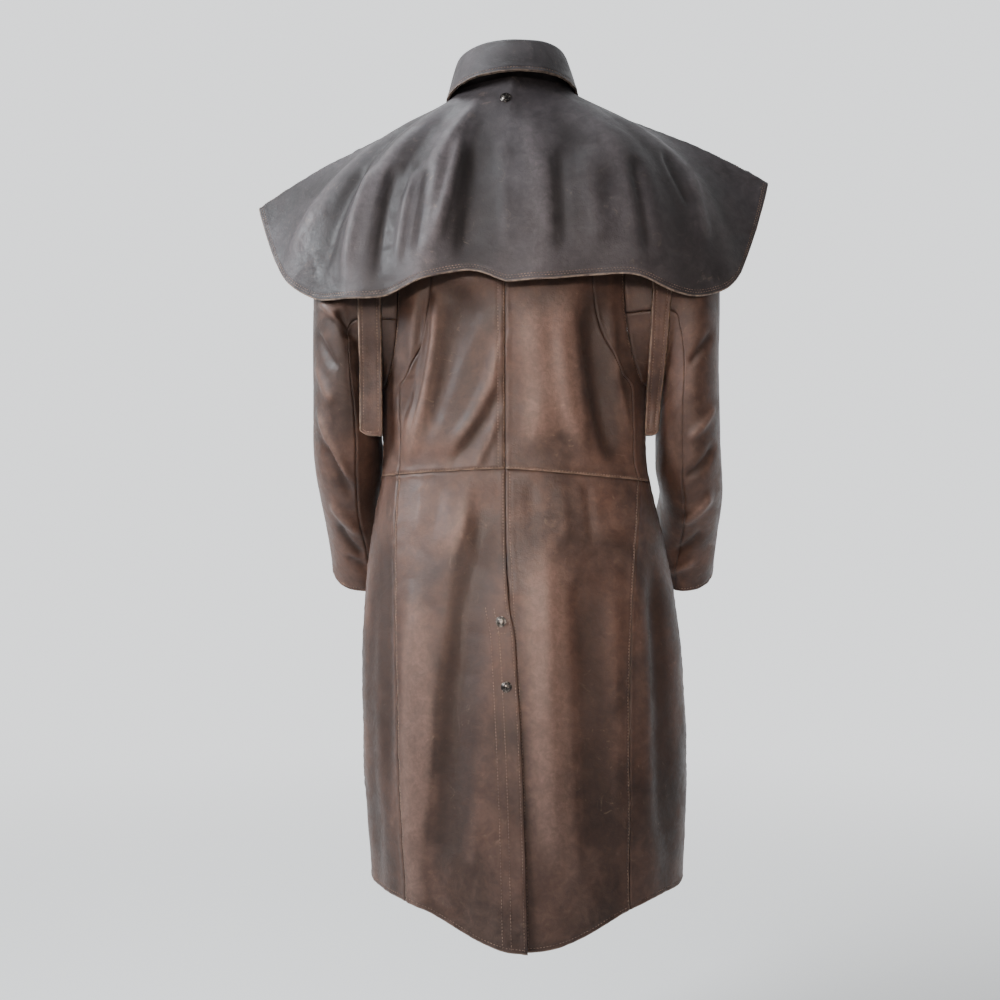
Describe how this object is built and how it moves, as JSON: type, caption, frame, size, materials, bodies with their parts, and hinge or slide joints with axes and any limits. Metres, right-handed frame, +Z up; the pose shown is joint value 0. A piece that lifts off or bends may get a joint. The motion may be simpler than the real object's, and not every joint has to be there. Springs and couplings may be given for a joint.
{
  "type": "duster coat",
  "caption": "Long leather duster coat with a shoulder cape, fold-over collar, back vent and bent sleeves, in the hollow form it keeps while worn.",
  "frame": {"origin": "back of the neck opening, at the seam of the collar, where the coat hangs on the wearer's shoulders", "axes": "+Z up; the coat's back faces -Y and its front +Y; +X is the coat's right, seen from behind as in the picture"},
  "size_m": [0.7506, 0.3972, 1.2573],
  "materials": {
    "brown_leather": "worn waxed leather, dusty mauve brown with pale tan edges",
    "cape_leather": "worn waxed leather, cooler grey brown sheen",
    "strap_leather": "rough leather with a pale piped edge",
    "snap_metal": "dark metal domes, rubbed bright in places"
  },
  "bodies": {
    "root": {"back_upper_left": "brown_leather", "side_upper_left": "brown_leather", "skirt_back_left": "brown_leather", "skirt_side_left": "brown_leather", "front_left": "brown_leather", "sleeve_upper_left": "brown_leather", "sleeve_under_left": "brown_leather", "cape_front_left": "cape_leather", "armhole_strap_left": "strap_leather", "back_upper_right": "brown_leather", "side_upper_right": "brown_leather", "skirt_back_right": "brown_leather", "skirt_side_right": "brown_leather", "front_right": "brown_leather", "sleeve_upper_right": "brown_leather", "sleeve_under_right": "brown_leather", "cape_front_right": "cape_leather", "armhole_strap_right": "strap_leather", "collar_stand": "cape_leather", "collar_fall": "cape_leather", "cape_back": "cape_leather", "vent_strip": "brown_leather", "vent_snap_1": "snap_metal", "vent_snap_2": "snap_metal", "cape_snap": "snap_metal", "front_snap_1": "snap_metal", "front_snap_2": "snap_metal", "front_snap_3": "snap_metal", "front_snap_4": "snap_metal", "front_snap_5": "snap_metal", "front_snap_6": "snap_metal"}
  },
  "joints": []
}
